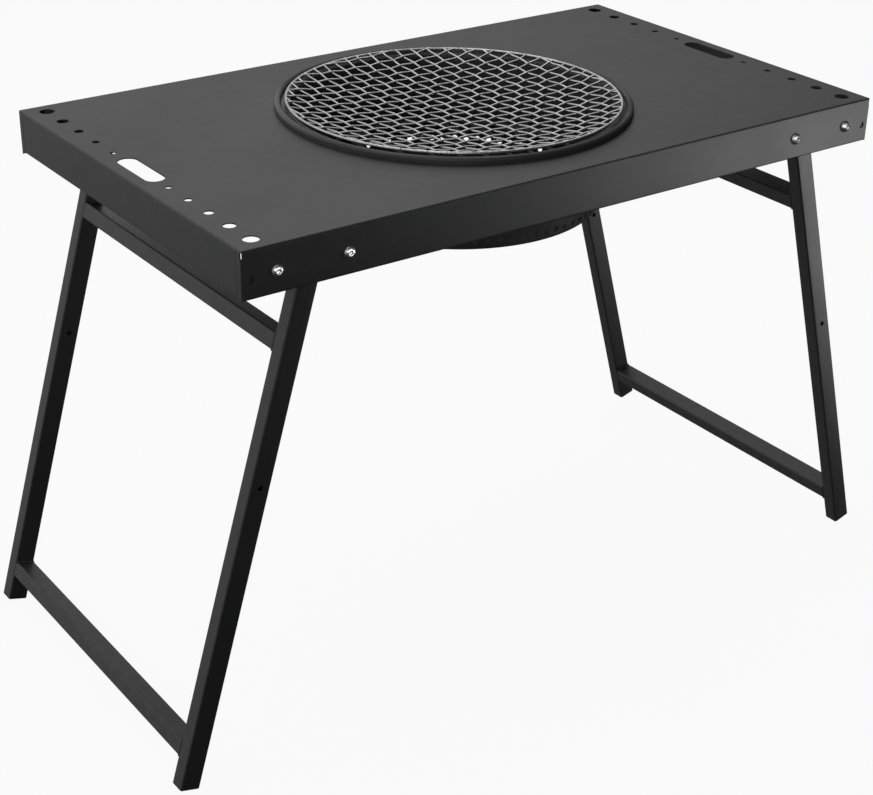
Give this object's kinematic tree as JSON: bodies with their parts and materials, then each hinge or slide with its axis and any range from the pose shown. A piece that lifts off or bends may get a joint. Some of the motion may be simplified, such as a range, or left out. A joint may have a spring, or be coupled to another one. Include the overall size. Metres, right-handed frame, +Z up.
{
  "type": "folding grill table",
  "caption": "Folding steel tray table with splayed leg frames, a drop-in round fire pan, a charcoal grate and a dished wire grill mesh.",
  "frame": {"origin": "on the ground, under the middle of the tray", "axes": "+X along the tray towards the right-hand leg frame, +Y towards the rear long side, +Z up"},
  "size_m": [1.203, 0.5904, 0.7312],
  "materials": {
    "black_coat": "semi-matt fine-textured black powder coat",
    "heat_black": "matt black heat-proof enamel",
    "bright_wire": "bright chromed steel wire",
    "bright_bolt": "bright stainless socket-head bolt",
    "zinc": "zinc-plated pressed steel",
    "foot_plastic": "moulded black plastic",
    "nylon": "natural nylon"
  },
  "bodies": {
    "table": {"tray_top": "black_coat", "front_apron": "black_coat", "rear_apron": "black_coat", "left_apron": "black_coat", "right_apron": "black_coat", "left_front_bracket": "zinc", "left_front_pivot_bolt": "zinc", "left_front_pivot_washer": "nylon", "left_front_pivot_nut": "zinc", "left_front_inner_bolt": "bright_bolt", "left_front_inner_nut": "zinc", "left_front_outer_bolt": "bright_bolt", "left_front_outer_nut": "zinc", "left_rear_bracket": "zinc", "left_rear_pivot_bolt": "zinc", "left_rear_pivot_washer": "nylon", "left_rear_pivot_nut": "zinc", "left_rear_inner_bolt": "bright_bolt", "left_rear_inner_nut": "zinc", "left_rear_outer_bolt": "bright_bolt", "left_rear_outer_nut": "zinc", "right_front_bracket": "zinc", "right_front_pivot_bolt": "zinc", "right_front_pivot_washer": "nylon", "right_front_pivot_nut": "zinc", "right_front_inner_bolt": "bright_bolt", "right_front_inner_nut": "zinc", "right_front_outer_bolt": "bright_bolt", "right_front_outer_nut": "zinc", "right_rear_bracket": "zinc", "right_rear_pivot_bolt": "zinc", "right_rear_pivot_washer": "nylon", "right_rear_pivot_nut": "zinc", "right_rear_inner_bolt": "bright_bolt", "right_rear_inner_nut": "zinc", "right_rear_outer_bolt": "bright_bolt", "right_rear_outer_nut": "zinc"},
    "left_frame": {"left_front_leg": "black_coat", "left_front_foot_plug": "foot_plastic", "left_rear_leg": "black_coat", "left_rear_foot_plug": "foot_plastic", "left_upper_crossbar": "black_coat", "left_lower_crossbar": "black_coat"},
    "right_frame": {"right_front_leg": "black_coat", "right_front_foot_plug": "foot_plastic", "right_rear_leg": "black_coat", "right_rear_foot_plug": "foot_plastic", "right_upper_crossbar": "black_coat", "right_lower_crossbar": "black_coat"},
    "fire_pan": {"fire_pan": "heat_black"},
    "charcoal_grate": {"charcoal_grate": "heat_black", "charcoal_grate_leg_1": "heat_black", "charcoal_grate_leg_2": "heat_black", "charcoal_grate_leg_3": "heat_black", "charcoal_grate_leg_4": "heat_black"},
    "grill": {"grill_mesh": "bright_wire", "grill_rim": "bright_wire"}
  },
  "joints": [
    {"name": "left_frame_fold", "type": "hinge", "parent": "table", "child": "left_frame", "pos_m": [-0.38704, 0, 0.7015], "axis": [0, -1, 0], "range_deg": [0, 106.07]},
    {"name": "right_frame_fold", "type": "hinge", "parent": "table", "child": "right_frame", "pos_m": [0.39539, 0, 0.6725], "axis": [0, 1, 0], "range_deg": [0, 106.07]},
    {"name": "fire_pan_lift", "type": "slide", "parent": "table", "child": "fire_pan", "axis": [0, 0, 1], "range_m": [0, 0.18]},
    {"name": "grill_lift", "type": "slide", "parent": "fire_pan", "child": "grill", "axis": [0, 0, 1], "range_m": [0, 0.15]},
    {"name": "charcoal_grate_lift", "type": "slide", "parent": "fire_pan", "child": "charcoal_grate", "axis": [0, 0, 1], "range_m": [0, 0.06]}
  ]
}
